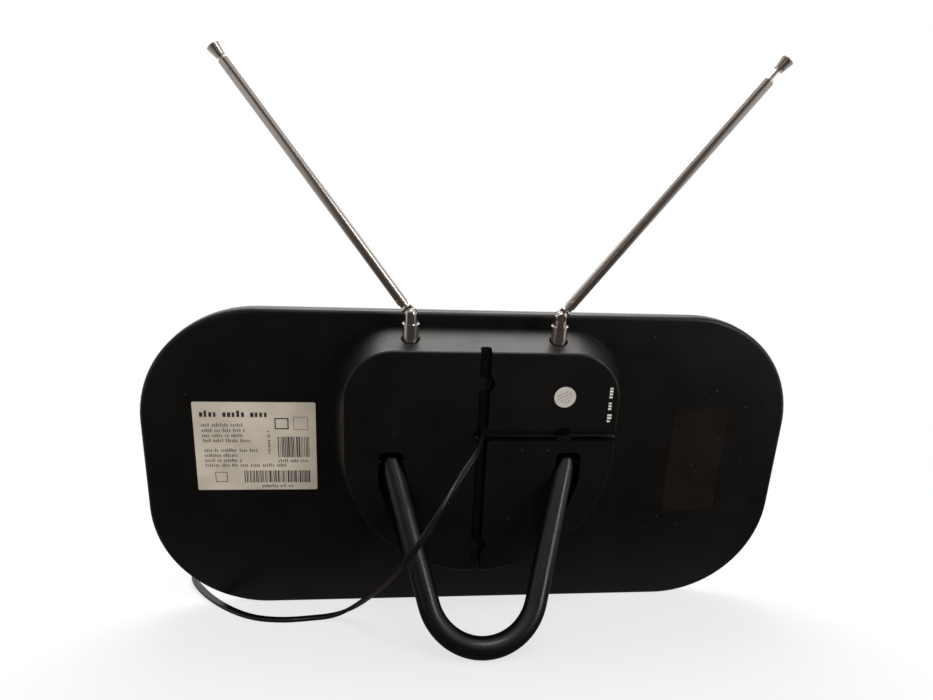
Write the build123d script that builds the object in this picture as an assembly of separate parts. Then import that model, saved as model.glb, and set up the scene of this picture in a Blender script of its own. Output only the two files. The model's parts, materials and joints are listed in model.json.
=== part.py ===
"""A flat indoor television antenna with two telescopic rods, in millimetres.

The flat panel is two shallow moulded covers around a pair of sheet aerials. A raised
housing on its back holds the amplifier, the sockets of the rods, grooves in which the
cord can be led away, and two recesses for the legs of a fold-out stand. The panel
leans back on that stand, so every piece is drawn square to the panel and the whole
is tipped at the end.

Panel frame: X to the right seen from behind, Y from the back face towards the front,
Z up the panel. Finished frame: origin on the floor under the middle of the footprint,
+Z up, +Y towards the viewer of the television.
"""
import os
from math import acos, asin, atan2, cos, degrees, hypot, pi, radians, sin, sqrt, tan

from build123d import *

# Flat panel
panel_width = 315.0
panel_height = 156.4
panel_corner = 55.4
panel_thickness = 8.0
cover_wall = 1.8
rim_wall = 2.2
back_edge = 2.0
front_edge = 2.5
seam_depth = 3.4
seam_gap = 0.3
tongue_wall = 1.0
tongue_reach = 1.3
tongue_clearance = 0.15

# Sheet aerials inside the panel, and the bosses that clamp them
sheet_back = 4.7
sheet_thickness = 0.4
sheet_size = (122.0, 108.0)
sheet_corner = 30.0
sheet_middle = (80.0, panel_height / 2)
sheet_slot = (74.0, 7.0)
sheet_slot_rise = 27.0
boss_radius = 3.2
boss_pin_radius = 1.2
boss_pin_height = 0.7
boss_clearance = 0.1
boss_offsets = [(-44.0, -42.0), (-44.0, 44.0), (42.0, -18.0), (42.0, 20.0)]
feed_pin_radius = 0.8
feed_tab = (14.0, 12.0)

# Raised housing on the back
housing_half_width = 68.6
housing_top = panel_height - 6.6
housing_centre = housing_top - 55.8
housing_corner = 28.6
housing_depth = 20.0
housing_draft = 6.0
housing_wall = 2.0
housing_edge = 1.2
lip_width = 0.8
lip_height = 1.0

# Cord grooves in the housing
groove_width = 5.0
groove_depth = 4.6
groove_wall = 1.5
groove_floor_round = 1.6
side_groove_height = housing_top - 46.0
junction_radius = 4.4
tab_reach = 2.8
tab_thickness = 1.2
pocket_radius = 3.9
pocket_offset = 0.6
tab_length = 6.8
tab_round = 1.6
upper_tab_height = housing_top - 20.6
lower_tab_height = housing_top - 103.8
side_tab_place = 38.2

# Fold-out stand, a round rod bent to a narrowing U
stand_rod = 9.8
stand_half_spread = 41.3
stand_bend = 24.7
stand_angle = 37.0
hinge_depth = 14.5
hinge_height = housing_top - 61.8
bend_height = 32.0
stand_drop = hinge_height - bend_height
recess_side_clearance = 0.9
recess_floor_clearance = 0.6
recess_wall = 1.5
recess_head = (11.8, 14.6)
recess_head_corner = 3.0
recess_knee_drop = 8.0
recess_foot = (31.4, bend_height - 5.0)
stand_pin = 3.0
stand_pin_overhang = 3.6
stand_pin_clearance = 0.05
pin_boss = (7.0, 8.0)

# Sockets, posts and hinges of the two rods
left_post_place = -33.4
right_post_place = 34.0
post_spots = {"left": left_post_place, "right": right_post_place}
post_depth = 10.0
rod_hinge_height = housing_top + 8.4
socket_block = (13.0, 12.0)
socket_floor = housing_top - 10.6
socket_base = socket_floor - 5.2
socket_bore = 8.6
shank_radius = 2.5
shank_clearance = 0.05
ferrule_radius = 3.65
ferrule_top = 5.2
collar_radius = 3.85
collar_height = 0.8
fork_radius = 3.0
fork_flat = 2.7
fork_slot = 2.2
fork_slot_depth = 3.3
running_gap = 0.1
washer_radius = 4.6
washer_thickness = 0.5
nut_across = 8.0
nut_height = 3.0
shank_end = 0.9
hinge_screw_radius = 1.0
hinge_screw_clearance = 0.05
hinge_head_radius = 2.15
hinge_head_height = 0.8
hinge_screw_end = 1.9
lug_strip = 4.0
lug_end = 3.0

# Telescopic rods
tube_radius = 2.4
tube_wall = 0.35
tube_clearance = 0.05
tube_start = 6.0
tube_end = 126.8
end_step = 0.4
tongue_thickness = 2.0
tongue_width = 5.0
neck_start = 3.6
plug_length = 6.5
plug_clearance = 0.01
nest_gap = 2.0
tube_overlap = 12.0
dimple_radius = 1.5
dimple_depth = 0.22
dimple_height = 9.0
cap_length = 4.9
cap_small_radius = 2.05
cap_large_radius = 3.05
cap_edge = 0.35
cap_bore_depth = 3.0
rod_swivel = {"left": -7.7, "right": -7.0}
rod_tilt = {"left": 37.5, "right": 36.1}
right_tip_pull = 4.0
tip_pulled_out = {"left": 0.0, "right": right_tip_pull}
sides = {"left": -1, "right": 1}

# Amplifier inside the housing
board_size = (50.0, 34.0)
board_middle = (0.0, housing_top - 31.8)
feed_spot = (16.5, board_middle[1] - 10.5)
board_thickness = 1.6
board_standoff = 4.0
standoff_radius = 2.5
standoff_pin = 1.1
standoff_inset = 4.0
can_size = (26.0, 18.0, 5.2)
can_wall = 0.3
can_middle = (6.0, board_middle[1] - 4.0)
chip_size = (7.0, 7.0, 1.4)
chip_middle = (-15.0, board_middle[1] - 4.5)
coil_can_size = (5.0, 5.0, 4.0)
coil_can_middle = (-15.0, board_middle[1] + 6.0)

# Screws that hold the housing to the back cover, driven from inside the panel
upper_screw_spot = (56.0, housing_top - 31.8)
lower_screw_spot = (13.5, housing_top - 99.8)
housing_screw_radius = 1.5
housing_screw_length = 9.0
housing_screw_head = (2.8, 1.8)
housing_boss_radius = 3.4
housing_screw_clearance = 0.05

# Stickers
label_size = (56.3, 45.8)
label_middle = (-105.3, panel_height / 2 + 10.5)
label_corner = 0.7
film_size = (27.9, 57.4)
film_middle = (113.1, panel_height / 2 + 2.6)
film_corner = 0.8
round_sticker_radius = 5.0
round_sticker_middle = (36.9, housing_top - 26.6)
sticker_thickness = 0.15

# Flat twin cord: its solids are round, with the section of the flat pair
cord_width = 3.8
cord_thickness = 1.9
cord_round = 2.8
tail_round = 1.9
relief_size = (4.2, 3.2)
relief_small = (3.9, 2.8)
relief_reach = 1.6
relief_flange = (7.0, 5.0, 1.0)
relief_x = -0.3
relief_clearance = 0.02
coil_middle = (-126.0, 56.0)
coil_mid_radius = 20.9
coil_ring = 10.6
coil_height = 7.8
coil_lug = 6.0
splitter_size = (13.0, 7.0, 4.6)
splitter_start = (-104.0, 81.0)

# Plugs on the cord's tails
coax_grip_radius = 5.6
coax_grip_length = 20.0
coax_relief_length = 6.0
coax_relief_radius = 2.2
coax_ring_radius = 4.75
coax_ring_wall = 0.45
coax_ring_length = 9.5
coax_flute = (0.9, 1.2, 14.0)
coax_pin_radius = 1.18
coax_plug_start = (-18.0, 74.0)
usb_grip = (24.0, 14.6, 7.8)
usb_grip_corner = 1.6
usb_shell = (12.0, 12.0, 4.5)
usb_shell_wall = 0.3
usb_tongue = (9.0, 10.6, 1.8)
usb_plug_start = (-40.0, 52.0)

# The lean of the panel follows from the stand: both stand on one floor
stand_reach = stand_drop + stand_bend
foot_back = hinge_depth + stand_reach * sin(radians(stand_angle))
foot_up = hinge_height - stand_reach * cos(radians(stand_angle))
foot_from_edge = (-foot_back - back_edge, foot_up - back_edge)
lean = degrees(
    atan2(*foot_from_edge) + acos((stand_rod / 2 - back_edge) / hypot(*foot_from_edge))
)
lift = back_edge * (1 - sin(radians(lean)) - cos(radians(lean)))

# The folded stand's legs touch its bend where they turn by this angle
leg_slant = degrees(
    atan2(stand_half_spread, stand_drop)
    - asin(stand_bend / hypot(stand_half_spread, stand_drop))
)


def facing(depth):
    """A drawing plane parallel to the panel, seen from behind, at this depth."""
    return Plane(origin=(0, depth, 0), x_dir=(1, 0, 0), z_dir=(0, -1, 0))


def slab(outline, near, far):
    """The outline, drawn in X and Z, made solid from depth near to depth far."""
    return extrude(facing(far) * outline, far - near)


def peg(spot, radius, near, far):
    """A round peg or drill square to the panel."""
    return slab(Pos(*spot) * Circle(radius), near, far)


def turned(*profile):
    """A turned piece on the Z axis from the radius and height of each corner."""
    return revolve(Plane.XZ * make_face(Polyline(*profile, close=True)), Axis.Z)


def cross_bar(radius, start, end, y=0.0, z=0.0):
    """A round bar or drill along X."""
    return Pos(start, y, z) * extrude(Plane.YZ * Circle(radius), end - start)


def panel_outline(inset=0.0):
    return Pos(0, panel_height / 2) * RectangleRounded(
        panel_width - 2 * inset, panel_height - 2 * inset, panel_corner - inset
    )


def housing_outline(inset=0.0):
    half = housing_half_width - inset
    top = housing_top - inset
    radius = housing_corner - inset
    knee = top - radius
    arch = radius * (1 - cos(pi / 4))
    low = housing_centre
    edges = [
        Line((-half, low), (-half, knee)),
        ThreePointArc((-half, knee), (-half + arch, top - arch), (-half + radius, top)),
        Line((-half + radius, top), (half - radius, top)),
        ThreePointArc((half - radius, top), (half - arch, top - arch), (half, knee)),
        Line((half, knee), (half, low)),
        ThreePointArc((half, low), (0, low - half), (-half, low)),
    ]
    return make_face(edges)


def drafted(inset, depth):
    """The housing's solid shape inside this inset, narrowing towards its face."""
    narrow = housing_draft * depth / housing_depth
    ends = (facing(0) * housing_outline(inset), facing(-depth) * housing_outline(inset + narrow))
    return loft(list(ends), ruled=True)


def both_sides(spots):
    return [(side * x, z) for x, z in spots for side in (-1, 1)]


def boss_spots():
    """The middles of the bosses through the right sheet."""
    return [(sheet_middle[0] + x, sheet_middle[1] + z) for x, z in boss_offsets]


def screw_spots():
    return both_sides([upper_screw_spot, lower_screw_spot])


# Panel

def back_cover():
    """A shallow tray with bosses for the sheets inside and for the board outside."""
    tray = slab(panel_outline(), 0, seam_depth)
    tray = fillet(tray.edges().group_by(Axis.Y)[0], back_edge)
    tray -= slab(panel_outline(rim_wall), cover_wall, seam_depth)
    for spot in both_sides(boss_spots()):
        tray += peg(spot, boss_radius, 0.5 * cover_wall, sheet_back)
        tray += peg(spot, boss_pin_radius, sheet_back, sheet_back + boss_pin_height)
    for spot in board_fixings():
        tray += peg(spot, standoff_radius, -board_standoff, 0.5 * cover_wall)
        tray += peg(spot, standoff_pin, -board_standoff - board_thickness, 0)
    for spot in screw_spots():
        tray -= peg(spot, housing_screw_radius + housing_screw_clearance, 0, cover_wall)
    for spot in both_sides([feed_spot]):
        tray -= peg(spot, feed_pin_radius + boss_clearance, 0, cover_wall)
    return tray


def front_cover():
    """The deeper tray, with a tongue that drops inside the rim of the back cover."""
    seam = seam_depth + seam_gap
    inside = panel_thickness - cover_wall
    tray = slab(panel_outline(), seam, panel_thickness)
    tray = fillet(tray.edges().group_by(Axis.Y)[-1], front_edge)
    tray -= slab(panel_outline(rim_wall), seam, inside)
    tongue = panel_outline(rim_wall + tongue_clearance)
    tongue -= panel_outline(rim_wall + tongue_clearance + tongue_wall)
    tray += slab(tongue, seam_depth - tongue_reach, inside + 0.5 * cover_wall)
    for spot in both_sides(boss_spots()):
        tray += peg(spot, boss_radius, sheet_back + sheet_thickness, inside + 0.5)
        tray -= peg(spot, boss_pin_radius + boss_clearance, sheet_back, inside)
    return tray


def sheet_aerial(side):
    """A stamped sheet with two slots and a narrow tab towards the amplifier."""
    outline = Pos(*sheet_middle) * RectangleRounded(*sheet_size, sheet_corner)
    for rise in (-sheet_slot_rise, sheet_slot_rise):
        end = sheet_middle[0] + sheet_size[0] / 2 - sheet_slot[0] / 2
        outline -= Pos(end, sheet_middle[1] + rise) * Rectangle(*sheet_slot)
    outline += Pos(*feed_spot) * Rectangle(*feed_tab)
    for spot in boss_spots():
        outline -= Pos(*spot) * Circle(boss_pin_radius + boss_clearance)
    outline -= Pos(*feed_spot) * Circle(feed_pin_radius + plug_clearance)
    if side < 0:
        outline = mirror(outline, Plane.YZ)
    return slab(outline, sheet_back, sheet_back + sheet_thickness)


def feed_pins():
    """Brass pins that join the sheets to the board."""
    back = -board_standoff - board_thickness
    front = sheet_back + sheet_thickness
    return [peg(spot, feed_pin_radius, back, front) for spot in both_sides([feed_spot])]


# Housing

def stand_plan(width):
    """The folded stand seen from behind, as bands of this width."""
    slant = radians(leg_slant)
    touch_x = stand_bend * cos(slant)
    touch_z = hinge_height - stand_drop - stand_bend * sin(slant)
    plan = None
    for side in (-1, 1):
        middle = (side * (stand_half_spread + touch_x) / 2, (hinge_height + touch_z) / 2)
        run = hypot(stand_half_spread - touch_x, hinge_height - touch_z)
        leg = Pos(*middle) * Rot(0, 0, -side * leg_slant) * Rectangle(width, run)
        leg += Pos(side * stand_half_spread, hinge_height) * Circle(width / 2)
        plan = leg if plan is None else plan + leg
    far = 2 * stand_bend
    sector = make_face(
        Polyline(
            (0, 0),
            (far * cos(slant), -far * sin(slant)),
            (far, -far),
            (-far, -far),
            (-far * cos(slant), -far * sin(slant)),
            close=True,
        )
    )
    ring = Circle(stand_bend + width / 2) - Circle(stand_bend - width / 2)
    return plan + Pos(0, hinge_height - stand_drop) * (ring & sector)


def recess_plan(wall=0.0):
    """The stand's plan with room round it: squarer heads, and a straight outer wall."""
    plan = stand_plan(stand_rod + 2 * (recess_side_clearance + wall))
    head = RectangleRounded(
        recess_head[0] + 2 * wall, recess_head[1] + 2 * wall, recess_head_corner + wall
    )
    outer = stand_half_spread + recess_head[0] / 2 + wall
    foot_x, foot_z = recess_foot
    for side in (-1, 1):
        plan += Pos(side * stand_half_spread, hinge_height) * head
        room = Polyline(
            (side * stand_half_spread, hinge_height),
            (side * outer, hinge_height),
            (side * outer, hinge_height - recess_knee_drop),
            (side * (foot_x + wall), foot_z),
            (side * (foot_x - stand_rod / 2), foot_z),
            close=True,
        )
        plan += make_face(room)
    return plan


def groove_plan(wall=0.0):
    """The upright groove and the one to the right, their junction and the pockets."""
    wide = groove_width + 2 * wall
    reach = housing_half_width + wall
    plan = Pos(0, housing_centre) * Rectangle(wide, 2 * reach)
    plan += Pos(reach / 2, side_groove_height) * Rectangle(reach, wide)
    plan += Pos(0, side_groove_height) * Circle(junction_radius + wall)
    pocket = Circle(pocket_radius + wall)
    plan += Pos(pocket_offset, upper_tab_height) * pocket
    plan += Pos(pocket_offset, lower_tab_height) * pocket
    return plan + Pos(side_tab_place, side_groove_height + pocket_offset) * pocket


def groove_tabs():
    """Thin tabs level with the face, under which the cord is pushed."""
    root = 0.5
    long = tab_reach + root
    middle = -groove_width / 2 - root + long / 2
    upright = RectangleRounded(long, tab_length, tab_round)
    tabs = [Pos(middle, height) * upright for height in (upper_tab_height, lower_tab_height)]
    level = RectangleRounded(tab_length, long, tab_round)
    tabs.append(Pos(side_tab_place, side_groove_height + middle) * level)
    return [slab(tab, -housing_depth, -housing_depth + tab_thickness) for tab in tabs]


def rear_housing():
    """The drafted shell with its grooves, recesses, sockets and screw bosses."""
    shell = drafted(0, housing_depth)
    shell = fillet(shell.edges().group_by(Axis.Y)[0], housing_edge)
    shell += slab(housing_outline(-lip_width), -lip_height, 0)

    face = -housing_depth - 1
    recess_floor = -hinge_depth + stand_rod / 2 + recess_floor_clearance
    groove_floor = -housing_depth + groove_depth
    void = drafted(housing_wall, housing_depth - housing_wall)
    void -= slab(groove_plan(groove_wall), face, groove_floor + groove_wall)
    void -= slab(recess_plan(recess_wall), face, recess_floor + recess_wall)
    for x in post_spots.values():
        block = Box(*socket_block, housing_top - socket_base)
        void -= Pos(x, -post_depth, (housing_top + socket_base) / 2) * block
    for side in (-1, 1):
        span = recess_head[0] + 2 * stand_pin_overhang + 2
        block = Box(span, *pin_boss)
        void -= Pos(side * stand_half_spread, -hinge_depth, hinge_height) * block
    for spot in screw_spots():
        void -= peg(spot, housing_boss_radius, -housing_depth, 0)
    shell -= void

    groove = slab(groove_plan(), face, groove_floor)
    groove = fillet(groove.edges().group_by(Axis.Y)[-1], groove_floor_round)
    shell -= groove
    for tab in groove_tabs():
        shell += tab
    shell -= slab(recess_plan(), face, recess_floor)

    bore = shank_radius + shank_clearance
    for x in post_spots.values():
        spot = Pos(x, -post_depth, 0)
        shell -= spot * Pos(0, 0, socket_floor) * extrude(Circle(socket_bore / 2), 20)
        shell -= spot * Pos(0, 0, socket_base) * extrude(Circle(bore), 10)
    pin_reach = recess_head[0] / 2 + stand_pin_overhang
    for side in (-1, 1):
        middle = side * stand_half_spread
        shell -= cross_bar(
            stand_pin / 2 + plug_clearance,
            middle - pin_reach,
            middle + pin_reach,
            -hinge_depth,
            hinge_height,
        )
    for spot in screw_spots():
        drill = housing_screw_radius + housing_screw_clearance
        shell -= peg(spot, drill, cover_wall - housing_screw_length, 0)
    relief = SlotOverall(relief_size[0] + relief_clearance, relief_size[1] + relief_clearance)
    relief = Pos(relief_x, side_groove_height) * relief
    shell -= slab(relief, groove_floor - groove_floor_round, groove_floor + groove_wall)
    return shell


def housing_screws():
    """Pan-head screws: head inside the panel, thread in the housing's bosses."""
    head_radius, head_height = housing_screw_head
    screws = []
    for spot in screw_spots():
        screw = peg(spot, head_radius, cover_wall, cover_wall + head_height)
        screw = fillet(screw.edges().group_by(Axis.Y)[-1], 0.6)
        end = cover_wall - housing_screw_length
        screws.append(screw + peg(spot, housing_screw_radius, end, cover_wall))
    return screws


# Amplifier

def board_fixings():
    half_x = board_size[0] / 2 - standoff_inset
    half_z = board_size[1] / 2 - standoff_inset
    x, z = board_middle
    return [(x + i * half_x, z + k * half_z) for i in (-1, 1) for k in (-1, 1)]


def on_board(size, middle):
    """A block of this width, height and thickness on the back of the board."""
    front = -board_standoff - board_thickness
    return slab(Pos(*middle) * Rectangle(*size[:2]), front - size[2], front)


def amplifier_board():
    """The circuit board with its chip and coil, on four pegs of the back cover."""
    plan = Pos(*board_middle) * RectangleRounded(*board_size, 1.0)
    for spot in board_fixings():
        plan -= Pos(*spot) * Circle(standoff_pin + plug_clearance)
    for spot in both_sides([feed_spot]):
        plan -= Pos(*spot) * Circle(feed_pin_radius + plug_clearance)
    board = slab(plan, -board_standoff - board_thickness, -board_standoff)
    board += on_board(chip_size, chip_middle)
    return board + on_board(coil_can_size, coil_can_middle)


def shield_can():
    """A folded tin lid over the amplifier stage."""
    width, height, depth = can_size
    inner = (width - 2 * can_wall, height - 2 * can_wall, depth - can_wall)
    return on_board(can_size, can_middle) - on_board(inner, can_middle)


def cord_relief():
    """The moulded relief: a flange inside the housing and a short tapered nose."""
    floor = -housing_depth + groove_depth
    middle = Pos(relief_x, side_groove_height)
    inside = floor + groove_wall
    flange = middle * SlotOverall(*relief_flange[:2])
    relief = slab(flange, inside, inside + relief_flange[2])
    relief += slab(middle * SlotOverall(*relief_size), floor, inside)
    nose = loft(
        [
            facing(floor) * middle * SlotOverall(*relief_size),
            facing(floor - relief_reach) * middle * SlotOverall(*relief_small),
        ]
    )
    return relief + nose


# Stand

def stand():
    """One round rod bent to a U, domed at its ends and drilled for two pins."""
    slant = radians(leg_slant)
    touch = (stand_bend * cos(slant), -stand_drop - stand_bend * sin(slant))
    bottom = (0, -stand_drop - stand_bend)
    path = (
        Line((stand_half_spread, 0), touch)
        + ThreePointArc(touch, bottom, (-touch[0], touch[1]))
        + Line((-touch[0], touch[1]), (-stand_half_spread, 0))
    )
    path = facing(0) * path
    rod = sweep(Plane(path @ 0, z_dir=path % 0) * Circle(stand_rod / 2), path)
    eye = stand_pin / 2 + stand_pin_clearance
    for side in (-1, 1):
        rod += Pos(side * stand_half_spread, 0, 0) * Sphere(stand_rod / 2)
    rod -= cross_bar(eye, -stand_half_spread - stand_rod, stand_half_spread + stand_rod)
    return Pos(0, -hinge_depth, hinge_height) * Rot(X=-stand_angle) * rod


def stand_hinge_pin(side):
    """A steel pin across one recess, through the leg's eye."""
    reach = recess_head[0] / 2 + stand_pin_overhang
    middle = side * stand_half_spread
    return cross_bar(
        stand_pin / 2, middle - reach, middle + reach, -hinge_depth, hinge_height
    )


# Rod posts, drawn about the rod's hinge

def post():
    """The turned post: shank, ferrule with a collar, and a slotted, domed fork."""
    shank_bottom = socket_base - washer_thickness - nut_height - shank_end
    ledge = socket_floor + running_gap - rod_hinge_height
    collar_top = collar_height - ferrule_top
    body = turned(
        (0, shank_bottom - rod_hinge_height),
        (shank_radius, shank_bottom - rod_hinge_height),
        (shank_radius, ledge),
        (ferrule_radius, ledge),
        (ferrule_radius, -ferrule_top),
        (collar_radius, -ferrule_top),
        (collar_radius, collar_top),
        (fork_radius, collar_top),
        (fork_radius, 0),
        (0, 0),
    )
    body += Sphere(fork_radius)
    wide = 4 * fork_radius
    slot_top = 2 * fork_radius
    slot = Box(wide, fork_slot, slot_top + fork_slot_depth)
    body -= Pos(0, 0, (slot_top - fork_slot_depth) / 2) * slot
    flat_height = slot_top - collar_top
    for face in (-1, 1):
        flat = Box(wide, fork_radius, flat_height)
        middle = (slot_top + collar_top) / 2
        body -= Pos(0, face * (fork_flat + fork_radius / 2), middle) * flat
    hole = hinge_screw_radius + plug_clearance
    return body - peg((0, 0), hole, -fork_flat - 1, hinge_screw_end)


def hinge_screw():
    """The cross-head screw on which the rod tilts."""
    back = -fork_flat
    head = peg((0, 0), hinge_head_radius, back - hinge_head_height, back)
    head = fillet(head.edges().group_by(Axis.Y)[0], 0.25)
    for bar in (Rectangle(2.2, 0.55), Rectangle(0.55, 2.2)):
        head -= slab(Rot(0, 0, 45) * bar, back - hinge_head_height, back - 0.3)
    return head + peg((0, 0), hinge_screw_radius, back, hinge_screw_end)


def post_nut():
    """The nut under the socket, with the shank's end through it."""
    top = socket_base - washer_thickness - running_gap - rod_hinge_height
    nut = RegularPolygon(nut_across / 2, 6, major_radius=False)
    nut -= Circle(shank_radius + plug_clearance)
    return Pos(0, 0, top - nut_height) * extrude(nut, nut_height)


def contact_lug(side):
    """The ring terminal under the socket, with its strip to the face of the board."""
    x = post_spots["left" if side < 0 else "right"]
    board_face = -board_standoff - board_thickness
    edge = side * (board_size[0] / 2 - lug_end)
    bar = Rectangle(abs(x - edge), lug_strip)
    plan = Pos(x, -post_depth) * Circle(washer_radius)
    plan += Pos((x + edge) / 2, -post_depth) * bar
    low = -post_depth - lug_strip / 2
    foot = Rectangle(lug_end, board_face - low)
    plan += Pos(edge + side * lug_end / 2, (board_face + low) / 2) * foot
    plan -= Pos(x, -post_depth) * Circle(shank_radius + running_gap)
    return Pos(0, 0, socket_base - washer_thickness) * extrude(plan, washer_thickness)


# Telescopic rods, drawn along Z from the hinge

def section_radius(number):
    return tube_radius - (number - 1) * (tube_wall + tube_clearance)


def section_start(number):
    """The lower end of a section: the first starts over the plug, the rest above it."""
    return tube_start if number == 1 else tube_start + plug_length + nest_gap * (number - 1)


def section_end(number):
    """The outer ends stand a little proud of each other, as a row of steps."""
    return tube_end + end_step * (number - 1)


def rod_travel(number):
    """How far a section slides out of the one around it."""
    return section_end(number - 1) - section_start(number) - tube_overlap


def rod_root():
    """The flat tongue on the hinge screw, and the plug on which the tube is crimped."""
    half = tongue_thickness / 2
    blade = Circle(tongue_width / 2) + Pos(0, neck_start / 2) * Rectangle(
        tongue_width, neck_start
    )
    blade -= Circle(hinge_screw_radius + hinge_screw_clearance)
    root = slab(blade, -half, half)
    plug = tube_radius - tube_wall - plug_clearance
    shoulder = neck_start + plug - half
    wide = tongue_width
    root &= turned((0, -wide), (wide, -wide), (wide, neck_start), (0, neck_start))
    return root + turned(
        (0, neck_start - 0.5),
        (half, neck_start - 0.5),
        (plug, shoulder),
        (plug, tube_start + plug_length - 1),
        (0, tube_start + plug_length - 1),
    )


def tube(number):
    """One hollow section, rounded over at its outer end."""
    radius = section_radius(number)
    section = Circle(radius) - Circle(radius - tube_wall)
    start = section_start(number)
    body = Pos(0, 0, start) * extrude(section, section_end(number) - start)
    rim = body.faces().sort_by(Axis.Z)[-1].edges().sort_by(SortBy.LENGTH)[-1]
    body = fillet(rim, 0.6 * tube_wall)
    if number == 1:
        out = radius + dimple_radius - dimple_depth
        for turn in (0, 120, 240):
            punch = Pos(out, 0, dimple_height) * Sphere(dimple_radius)
            body -= Rot(Z=turn) * punch
    return body


def tip_rod():
    """The thin solid last section."""
    top = section_end(4) + running_gap + cap_bore_depth
    start = section_start(5)
    return Pos(0, 0, start) * extrude(Circle(section_radius(5)), top - start)


def tip_cap():
    """The flared button on the last section."""
    low = section_end(4) + running_gap
    cap = turned(
        (0, low),
        (cap_small_radius, low),
        (cap_large_radius, low + cap_length),
        (0, low + cap_length),
    )
    cap = fillet(cap.edges().group_by(Axis.Z)[-1], cap_edge)
    bore = section_radius(5) + plug_clearance
    return cap - Pos(0, 0, low) * extrude(Circle(bore), cap_bore_depth)


# Stickers

def sticker(outline, face):
    return slab(outline, face - sticker_thickness, face)


# Cord, on the floor in the finished frame before its last shift

def standing(x, y, z):
    """A point of the panel frame once the panel leans on its stand."""
    s, c = sin(radians(lean)), cos(radians(lean))
    return (x, y * c - z * s, y * s + z * c + lift)


relief_end = -housing_depth + groove_depth - relief_reach
cord_straight = 6.5
cord_route = [
    standing(relief_x, relief_end, side_groove_height),
    standing(relief_x, relief_end - cord_straight, side_groove_height),
    (-4.2, -60.0, 88.0),
    (-10.5, -68.5, 81.5),
    (-17.0, -75.5, 73.5),
    (-23.0, -79.5, 64.5),
    (-29.5, -78.0, 53.5),
    (-36.5, -69.5, 41.5),
    (-43.5, -57.5, 30.0),
    (-51.0, -43.5, 18.5),
    (-59.0, -30.0, 8.0),
    (-68.0, -23.5, 1.9),
    (-79.5, -23.5, 1.4),
    (-92.5, -25.0, 1.4),
    (-107.0, -21.5, 1.4),
    (-121.5, -10.0, 1.4),
    (-136.0, 7.0, 1.4),
    (-147.5, 25.0, 1.4),
    (-151.0, 36.0, 1.4),
    (-151.0, 43.5, 1.4),
]
end_route = [(-113.5, 81.0, 1.4), (-104.0, 81.0, 1.4)]
coax_route = [
    (-91.0, 82.8, 1.0),
    (-82.0, 82.8, 1.0),
    (-70.0, 86.0, 1.0),
    (-57.0, 86.5, 1.0),
    (-45.0, 82.0, 2.0),
    (-35.0, 76.5, 4.2),
    (-26.0, 74.0, 5.6),
    (-18.0, 74.0, 5.6),
]
usb_route = [
    (-91.0, 79.2, 1.0),
    (-83.0, 79.2, 1.0),
    (-75.0, 72.0, 1.0),
    (-69.0, 61.0, 1.0),
    (-60.0, 53.5, 1.8),
    (-49.0, 52.0, 3.9),
    (-40.0, 52.0, 3.9),
]


def cord_tube(name, points, diameter):
    """A round tube on straight runs joined by arcs as large as the runs allow."""
    points = [Vector(*p) for p in points]
    runs = [b - a for a, b in zip(points, points[1:])]
    radii = []
    for before, after in zip(runs, runs[1:]):
        turn = radians(before.get_angle(after))
        radii.append(0.45 * min(before.length, after.length) / tan(turn / 2))
    path = FilletPolyline(*points, radius=radii) if radii else Line(*points)
    tube_solid = sweep(Plane(path @ 0, z_dir=path % 0) * Circle(diameter / 2), path)
    share = tube_solid.volume / (pi * diameter**2 / 4 * path.length)
    least = min(radii) if radii else 0
    print(f"{name}: {path.length:.1f} mm, least radius {least:.1f}, volume {share:.4f}")
    return tube_solid


def cord_coil():
    """The neat coil's outer shape, with a short lug where the cord comes in and out."""
    x, y = coil_middle
    outer = coil_mid_radius + coil_ring / 2
    ring = Circle(outer) - Circle(outer - coil_ring)
    coil = Pos(x, y, 0) * extrude(ring, coil_height)
    entry, leaving = cord_route[-1], end_route[0]
    wide = cord_round + 0.4
    block = Pos(entry[0], entry[1] + coil_lug / 2, wide / 2) * Box(wide, coil_lug, wide)
    coil += block
    block = Pos(leaving[0] - coil_lug / 2, leaving[1], wide / 2) * Box(coil_lug, wide, wide)
    return coil + block


def splitter():
    """The small moulded block where the pair parts into two tails."""
    length, width, height = splitter_size
    x, y = splitter_start
    block = Pos(x + length / 2, y, height / 2) * Box(length, width, height)
    return fillet(block.edges().filter_by(Axis.X), 1.2)


# Plugs, drawn along X from the end of their tail

def coax_grip():
    low, high = coax_relief_length, coax_relief_length + coax_grip_length
    grip = turned(
        (0, 0),
        (0.6 * coax_relief_radius + 0.6, 0),
        (coax_relief_radius, low),
        (coax_grip_radius - 0.8, low),
        (coax_grip_radius, low + 1.5),
        (coax_grip_radius, high - 1),
        (coax_grip_radius - 1, high),
        (0, high),
    )
    for turn in range(0, 360, 45):
        flute = Box(*coax_flute)
        grip -= Rot(Z=turn) * Pos(coax_grip_radius, 0, (low + high) / 2) * flute
    return Rot(Y=90) * grip


def coax_ring():
    start = coax_relief_length + coax_grip_length
    ring = Circle(coax_ring_radius) - Circle(coax_ring_radius - coax_ring_wall)
    return Rot(Y=90) * Pos(0, 0, start) * extrude(ring, coax_ring_length)


def coax_pin():
    start = coax_relief_length + coax_grip_length
    pin = Pos(0, 0, start) * extrude(Circle(coax_pin_radius), coax_ring_length)
    pin = fillet(pin.edges().group_by(Axis.Z)[-1], 0.6)
    return Rot(Y=90) * pin


def usb_grip_body():
    length, width, height = usb_grip
    body = Pos(length / 2, 0, 0) * Box(length, width, height)
    body = fillet(body.edges().filter_by(Axis.X), usb_grip_corner)
    return fillet(body.edges().group_by(Axis.X)[0], usb_grip_corner * 0.6)


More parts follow.
